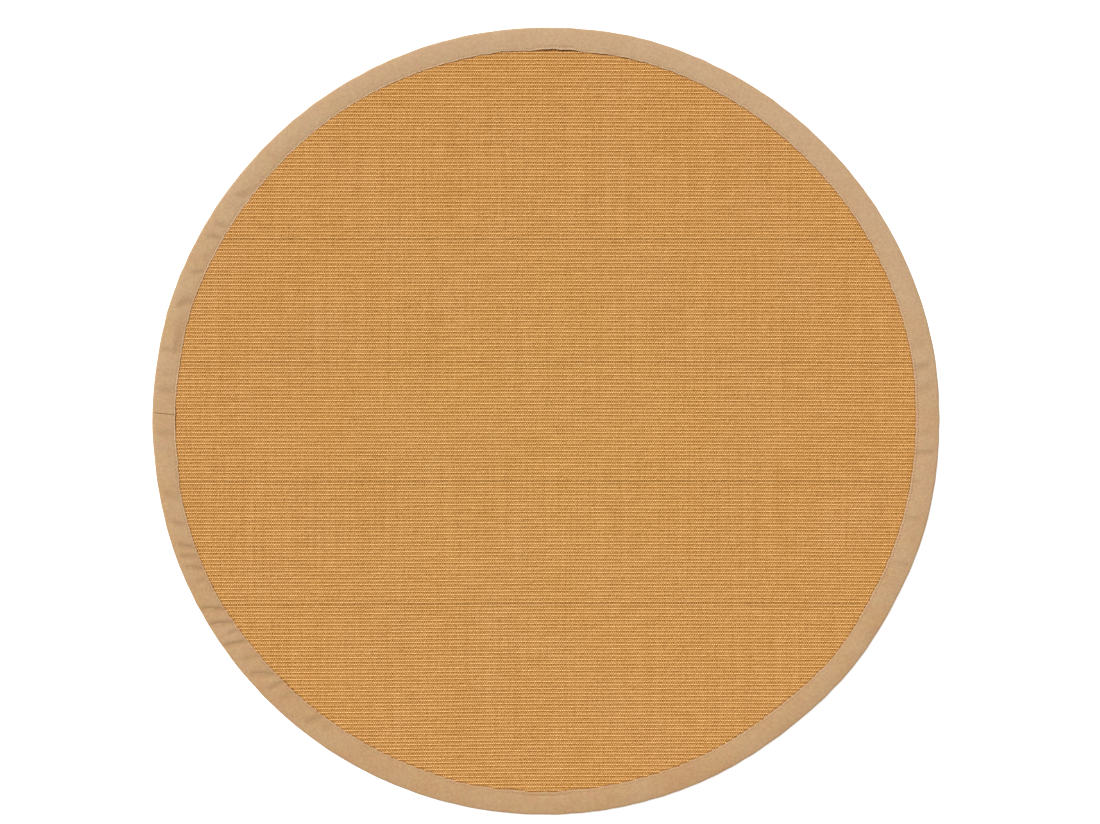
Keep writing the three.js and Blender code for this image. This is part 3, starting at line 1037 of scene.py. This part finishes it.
@dataclass
class CottonBinding:
    """The cloth border: a strip folded round the mat's edge, sewn down, with its ends joined.

    Distances are counted from the sewn edge, and shares are shares of the way from there to the centre
    of the fold's half circle.
    """

    plan: Plan
    finish: CottonClothFinish = CottonClothFinish()
    thickness: float = 1.2
    edge_thickness: float = 6.0
    crown_at: float = 20.0
    crown_rise: float = 1.1
    crown_outer_drop: float = 1.8
    crown_inner_drop: float = 0.9
    lowest: float = -2.5
    softness: float = 0.3
    crease_distance: float = 7.4
    crease_reach: float = 1.8
    seam_distance: float = 4.0
    seam_depth: float = 0.2
    seam_reach: float = 1.1
    stitch_pitch: float = 6.9
    stitch_length: float = 5.0
    stitch_radius: float = 0.45
    stitch_sunk: float = 0.7
    stitch_above: float = 0.1
    stitch_turns: float = 0.03
    stitch_off_line: float = 0.25
    stitch_lengths: Pair = (0.88, 1.08)
    stitch_rings: tuple[float, ...] = (-0.82, 0.0, 0.82)
    seed: int = 31
    held: float = 0.5
    slack: float = 0.7
    slack_from: float = 0.3
    fade_in: Pair = (-0.15, 0.05)
    fade_out: Pair = (-0.3, 0.0)
    full_trough: float = 1.3
    rib_height: float = 0.55
    rib_fade: float = 6.0
    wave_height: float = 0.1
    wave_lean: float = 3.0
    wave_span: Pair = (0.15, 0.8)
    join_angle: float = 178.93
    join_lean: float = -0.26
    join_bend: float = 1.5
    join_depth: float = 0.9
    join_reach: float = 0.85
    join_step: float = 0.5
    join_step_rise: float = 1.2
    join_step_fade: float = 14.0
    fold_from: float = 0.93
    side_step: float = 0.2
    end_step: float = 0.3
    rim: float = 0.45
    bevel: float = 0.3
    turned_under: float = 9.5
    near_fold: float = 0.97
    distances: tuple[float, ...] = (0, 0.8, 1.8, 3.2, 4.6, 6.2, 7.8, 9.6, 13)
    shares: tuple[float, ...] = (0.45, 0.57, 0.69, 0.8, 0.9, 0.97)
    join_turns: tuple[float, ...] = (0, 0.03, 0.06, 0.1, 0.15, 0.22, 0.3)
    join_clear: float = 0.36
    baked_along: Pair = (0.01, 0.96)
    baked_across: Pair = (0.04, 0.92)
    troughs: tuple[Trough, ...] = TROUGHS
    pulled: tuple[Pair, ...] = ((351.0, 21.0), (89.0, 4.5))
    bare: tuple[Pair, ...] = ((131.0, 32.0), (178.5, 8.0))

    def build(self) -> tuple[bpy.types.Object, bpy.types.Object]:
        """Makes the border and its row of stitches, and dresses them.

        Returns:
            The border and the stitches.
        """
        cloth = self.finish.material("plain_woven_cotton", whole=True)
        thread = self.finish.material("spun_cotton_thread", whole=False)
        border = self.cloth().build("cotton_binding_cloth", cloth)
        return border, self.stitches().build("cotton_binding_stitches", thread)

    @property
    def stitch_count(self) -> int:
        """How many stitches go round the sewn edge."""
        return round(2 * np.pi * (self.plan.radius - self.plan.border_width) / self.stitch_pitch)

    def span(self, angle: Floats) -> tuple[Floats, Floats]:
        """The sewn edge's radius, and the way from there to the centre of the fold's half circle."""
        sewn = self.plan.sewn_radius(angle)
        return sewn, self.plan.outline_radius(angle) - self.edge_thickness / 2 - sewn

    def gathers(self, angle: Floats, distance: Floats) -> Floats:
        """How deep the troughs are: a bell each, between its shares.

        The seam holds the cloth, so troughs are shallower near the sewn edge.

        Args:
            angle: Angles in degrees, in any shape.
            distance: Millimetres from the sewn edge, in the same shape.

        Returns:
            Millimetres of depth.
        """
        sewn, width = self.span(angle)
        share = np.clip(distance / width, 0.0, 1.0)
        depth = np.zeros_like(share)
        for trough in self.troughs:
            turn = turn_between(angle - trough.lean * share, trough.angle)
            off = np.deg2rad(turn) * (sewn + distance)
            starts = smoothstep(share, *(trough.inner_share + more for more in self.fade_in))
            ends = smoothstep(share, *(trough.outer_share + more for more in self.fade_out))
            across = bell(off, np.where(off < 0, trough.before, trough.after))
            depth += trough.depth * starts * (1 - ends) * across
        return depth * (self.held + self.slack * smoothstep(share, 0.0, self.slack_from))

    def rise(self, angle: Floats, distance: Floats) -> Floats:
        """How far the border's top rises above its plain height.

        The cloth is crowned: it falls by squares of the distance from its highest line. Troughs are
        taken off. Lifts fall as the cube of the share left to the fold, with creases like bells behind
        them. Near the sewn edge the ribs below press through as a cosine of the rib coordinate, the seam
        pulls a groove, and slow waves run along the cloth. The mat below stops it at its lowest by
        s * log(1 + exp(t / s)) with the softness s.

        Args:
            angle: Angles in degrees, in any shape.
            distance: Millimetres from the sewn edge, in the same shape.

        Returns:
            Millimetres above the plain height.
        """
        plan = self.plan
        sewn, width = self.span(angle)
        share = np.clip(distance / width, 0.0, 1.0)
        outwards = np.clip((distance - self.crown_at) / (width - self.crown_at), 0.0, 1.0)
        inwards = np.clip(1 - distance / self.crown_at, 0.0, 1.0)
        total = self.crown_rise - self.crown_outer_drop * outwards**2 - self.crown_inner_drop * inwards**2
        total += plan.lifted(angle) * (1 - share) ** 3 - self.gathers(angle, distance)
        from_crease = distance + plan.lifted(angle, "retreat") - self.crease_distance
        total -= plan.lifted(angle, "crease") * bell(from_crease, self.crease_reach)
        x, y, _ = np.moveaxis(round_points(angle, sewn + distance, 0.0), -1, 0)
        ribs = np.cos(2 * np.pi * plan.weave.rib_at(x, y)) * np.exp(-distance / self.rib_fade)
        total += ribs * self.rib_height / 2
        total -= self.seam_depth * bell(distance - self.seam_distance, self.seam_reach)
        waves = round_wander(angle + self.wave_lean * share, 12, 60, seed=21) * self.wave_height
        total += waves * np.sin(np.pi * (self.wave_span[0] + self.wave_span[1] * share))
        return self.lowest + self.softness * np.logaddexp(0.0, (total - self.lowest) / self.softness)

    def columns(self) -> Floats:
        """The angles of the border's sections.

        They are close together where ribs run into the border, at the rug's left and right, wider apart
        at its top and bottom, and closest at the join.

        Returns:
            Angles in rising order.
        """
        fine, coarse = self.side_step, self.end_step
        sides = [
            np.arange(middle - reach, middle + reach, step)
            for middle, reach, step in ((0, 50, fine), (90, 40, coarse), (180, 50, fine), (270, 40, coarse))
        ]
        even = np.unique(np.round(np.concatenate(sides) % FULL_TURN, 3))
        near = np.array(self.join_turns)
        clear = np.abs(turn_between(even, self.join_angle)) > self.join_clear
        join = self.join_angle + np.concatenate([-near[:0:-1], near])
        return np.sort(np.concatenate([even[clear], join]))

    def section(self) -> Floats:
        """The border's section, once round from the bottom of its inner edge.

        It runs along the bottom to the fold, round the fold's half circle, in along the top, round the
        sewn edge's own small rim, and back inside the cloth.

        Returns:
            One row for each point: the share of the width, the millimetres added to it, the height, and
            the share of the top's rise that the point takes.
        """
        half, top, cloth = self.edge_thickness / 2, self.edge_thickness, self.thickness
        under, rim, bevel, near = top - cloth, self.rim, self.bevel, self.near_fold
        bends = np.deg2rad([-60.0, -30.0, 0.0, 30.0, 60.0])
        rows = [(0, 0, 0, 0), (near, 0, 0, 0)]
        rows += [(1, half * math.cos(b), half + half * math.sin(b), (1 + math.sin(b)) / 2) for b in bends]
        rows += [(share, 0, top, 1) for share in reversed(self.shares)]
        rows += [(0, distance, top, 1) for distance in reversed(self.distances)]
        rows += [(0, -rim, top - bevel, 1), (0, -rim, under + bevel, 1), (0, bevel, under, 1)]
        rows += [(0, self.turned_under, under, 1), (near, 0, under, 1), (1, half - cloth, half, 0.5)]
        rows += [(near, 0, cloth, 0), (0, 0, cloth, 0)]
        return np.array(rows, float)

    def along_runs(self, angle: Floats, runs: tuple[Pair, ...]) -> Floats:
        """1 along the given runs of the edge and 0 elsewhere, with smooth ends."""
        return sum(1 - smoothstep(np.abs(turn_between(angle, at)) / half, 0.8, 1.0) for at, half in runs)

    def cloth(self) -> Surface:
        """The border as one closed band: its section carried once round the rug.

        At the join the section is bent by an angle that grows across the width, and the cloth has a
        groove like a bell, with a step beyond it that fades along the cloth.

        Returns:
            The closed surface.
        """
        angle, section = self.columns(), self.section()
        share, added, height, lifted = section.T[..., None]
        sewn, width = self.span(angle)
        distance = share * width + added
        across = np.clip(distance / width, 0.0, 1.0)
        on_cloth = np.clip(distance, 0.0, None)
        from_join = turn_between(angle, self.join_angle)
        bent = angle + self.join_lean * (across - 0.5) * bell(from_join, self.join_bend)
        off = np.deg2rad(from_join) * (sewn + distance)
        before_fold = 1 - smoothstep(across, self.fold_from, 1.0)
        groove = bell(off, self.join_reach) * before_fold
        step = np.exp(-np.clip(off, 0, None) / self.join_step_fade) * before_fold
        step = step * smoothstep(off, 0.0, self.join_step_rise)
        above = self.rise(bent, on_cloth) - self.join_depth * groove + self.join_step * step
        points = round_points(bent, sewn + distance, height + lifted * above).reshape(-1, 3)
        quads = grid_quads(*distance.shape, wrap_rows=True, wrap_columns=True)
        readings = {
            Layer.TROUGH: np.clip(self.gathers(bent, on_cloth) / self.full_trough, 0, 1),
            Layer.JOIN: groove * (lifted == 1.0),
            Layer.NEEDLE: 0.2 + 0.8 * self.along_runs(angle, self.pulled),
            Layer.RIB: self.plan.weave.rib_at(*points[:, :2].T).reshape(distance.shape),
            Layer.BARE: self.along_runs(angle, self.bare),
        }
        readings = {key: np.broadcast_to(value, distance.shape).ravel() for key, value in readings.items()}
        maps = {
            Layer.CLOTH: self.cloth_map(angle, distance),
            Layer.BAKE: self.bake_map(angle, section, float(width.mean())),
        }
        return Surface(points, [quads], maps, readings)

    def cloth_map(self, angle: Floats, distance: Floats) -> Floats:
        """The map that counts stitches along the border and millimetres from the sewn edge across it."""
        stitches = np.append(angle, angle[0] + FULL_TURN) / FULL_TURN * self.stitch_count
        return grid_map(stitches[None, :], np.pad(distance, ((0, 1), (0, 1)), mode="wrap"))

    def bake_map(self, angle: Floats, section: Floats, width: float, strips: int = 8) -> Floats:
        """A map without overlaps: the border cut into equal lengths that lie one above the other.

        Args:
            angle: The sections' angles.
            section: The section's rows.
            width: The border's mean width from the sewn edge to the fold's centre.
            strips: How many lengths.

        Returns:
            One pair for each corner.
        """
        outline = np.stack([section[:, 0] * width + section[:, 1], section[:, 2]], -1)
        steps = np.hypot(*np.diff(outline, axis=0, append=outline[:1]).T)
        across = np.append(0, np.cumsum(steps)) / steps.sum()
        along = np.append(angle, angle[0] + FULL_TURN) / FULL_TURN * strips
        strip = np.minimum(np.floor(along[:-1]), strips - 1)[None, :, None]
        pairs = grid_map(along[None, :], across[:, None]).reshape(len(section), len(angle), 4, 2)
        pairs[..., 0] = self.baked_along[0] + self.baked_along[1] * (pairs[..., 0] - strip)
        pairs[..., 1] = (strip + self.baked_across[0] + self.baked_across[1] * pairs[..., 1]) / strips
        return pairs.reshape(-1, 2)

    def stitches(self, sides: int = 5) -> Surface:
        """The row of stitches: short lengths of thread, half sunk in the seam's groove.

        A stitch is a spindle of radius r * sqrt(1 - t * t) along t from -1 to 1, laid along the edge,
        with both tips sunk into the cloth.

        Args:
            sides: Sides of the thread.

        Returns:
            The closed surfaces of all the stitches.
        """
        count, plan = self.stitch_count, self.plan
        half_length = np.rad2deg(self.stitch_length / 2 / (plan.radius - plan.border_width))
        random = np.random.default_rng(self.seed)
        middle = (np.arange(count) + 0.5) * FULL_TURN / count + random.normal(0, self.stitch_turns, count)
        half_turn = (half_length * random.uniform(*self.stitch_lengths, count))[:, None]
        off_line = random.normal(0, self.stitch_off_line, count)[:, None]
        along = np.array(self.stitch_rings)
        around = np.deg2rad(np.arange(sides) * FULL_TURN / sides)
        angle = middle[:, None] + half_turn * along
        distance = self.seam_distance + off_line + 0 * angle
        height = self.edge_thickness + self.rise(angle % FULL_TURN, distance) + self.stitch_above
        radius = plan.sewn_radius(angle % FULL_TURN) + distance
        thick = (self.stitch_radius * np.sqrt(1 - along**2))[:, None]
        out, up = thick * np.cos(around), thick * np.sin(around)
        rings = round_points(angle[..., None], radius[..., None] + out, height[..., None] + up)
        ends = middle[:, None] + half_turn * [-1.0, 1.0]
        end_radius = plan.sewn_radius(ends % FULL_TURN) + self.seam_distance
        tips = round_points(ends, end_radius, height[:, [0, -1]] - self.stitch_sunk)
        points = np.concatenate([rings.reshape(count, -1, 3), tips], axis=1)
        first = np.arange(count)[:, None, None] * points.shape[1]
        groups = (np.roll(group[:, ::-1], 1, axis=1) for group in capped_rings(len(along), sides))
        groups = [(first + group).reshape(-1, group.shape[1]) for group in groups]
        surface = Surface(points.reshape(-1, 3), groups)
        surface.maps[Layer.CLOTH] = surface.points[surface.corners, :2]
        return surface


# The studio


@dataclass
class Studio:
    """A pale light table, soft light from the picture's top left, and a camera straight above the rug."""

    photo_width: int = 1100
    photo_height: int = 824
    mm_per_pixel: float = 1.907
    rug_pixel: Pair = (545.73, 421.08)
    lens: float = 90.0
    sensor: float = 36.0
    floor_half_side: float = 40000.0
    floor_depth: float = 0.2
    floor_glow: float = 0.35
    key_elevation: float = 47.0
    key_azimuth: float = 128.0
    key_strength: float = 3.0
    key_spread: float = 16.0
    sky_strength: float = 0.62
    pixel_filter: float = 1.34

    def build(self) -> None:
        """Makes the floor, the light and the camera, and sets how the picture is developed."""
        self.floor()
        self.light()
        self.camera()
        scene = bpy.context.scene
        scene.view_settings.view_transform = "Standard"
        scene.view_settings.look = "None"
        # Loops are about two pixels wide, so the picture keeps its grain and a narrow pixel filter
        scene.cycles.use_denoising = False
        scene.cycles.filter_width = self.pixel_filter

    def floor(self) -> None:
        """A wide white sheet under the rug, lit from below as a light table is."""
        material, node = new_material("white_light_table")
        glow = {"Emission_Color": (1.0, 1.0, 1.0, 1.0), "Emission_Strength": self.floor_glow}
        node("OutputMaterial", node("BsdfPrincipled", linear_colour("#F4F4F2"), Roughness=0.9, **glow))
        square = np.array([[-1.0, -1.0], [1.0, -1.0], [1.0, 1.0], [-1.0, 1.0]])
        points = np.insert(square * self.floor_half_side, 2, -self.floor_depth, axis=1)
        surface = Surface(points, [np.array([[0, 1, 2, 3]])], {Layer.CLOTH: square})
        surface.build("light_table", material)

    def light(self) -> None:
        """A broad key light from the picture's top left, and an even pale surround."""
        lamp = bpy.data.lights.new("key_light", "SUN")
        lamp.energy, lamp.angle = self.key_strength, math.radians(self.key_spread)
        key = bpy.data.objects.new("key_light", lamp)
        tilt, turn = math.radians(self.key_elevation - 90), math.radians(self.key_azimuth - 90)
        key.rotation_euler = (tilt, 0, turn)
        bpy.context.scene.collection.objects.link(key)
        world = bpy.data.worlds.new("pale_surround")
        world.use_nodes = True
        world.node_tree.nodes.clear()
        sky = add_node(world.node_tree, "Background", (1, 1, 1, 1), self.sky_strength)
        add_node(world.node_tree, "OutputWorld", sky)
        bpy.context.scene.world = world

    def camera(self) -> None:
        """A long lens straight above, placed so that the rug lies where it does in the picture."""
        pixel = self.mm_per_pixel * MM
        data = bpy.data.cameras.new("camera")
        data.lens, data.sensor_width, data.clip_end = self.lens, self.sensor, 200.0
        camera = bpy.data.objects.new("camera", data)
        right = (self.photo_width / 2 - self.rug_pixel[0]) * pixel
        up = (self.rug_pixel[1] - self.photo_height / 2) * pixel
        camera.location = (right, up, self.photo_width * pixel * self.lens / self.sensor)
        bpy.context.scene.collection.objects.link(camera)
        bpy.context.scene.camera = camera


def main() -> None:
    """Builds the studio, the mat and the border, and ties each piece to the frame."""
    logging.basicConfig(level=logging.INFO, format="%(name)s: %(message)s")
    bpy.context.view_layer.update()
    Studio().build()
    plan = Plan()
    ground, *bands = SisalMat(plan).build()
    border, stitches = CottonBinding(plan).build()
    for piece in (ground, *bands):
        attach(piece, "root")
        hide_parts("sisal_mat")
    for piece in (border, stitches):
        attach(piece, "root")
        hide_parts("cotton_binding")
    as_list(bands)
    for piece in (ground, *bands, border, stitches):
        triangles = sum(len(face.vertices) - 2 for face in piece.data.polygons)
        LOG.info("%s: %d points, %d triangles", piece.name, len(piece.data.vertices), triangles)


if __name__ == "__main__":
    main()
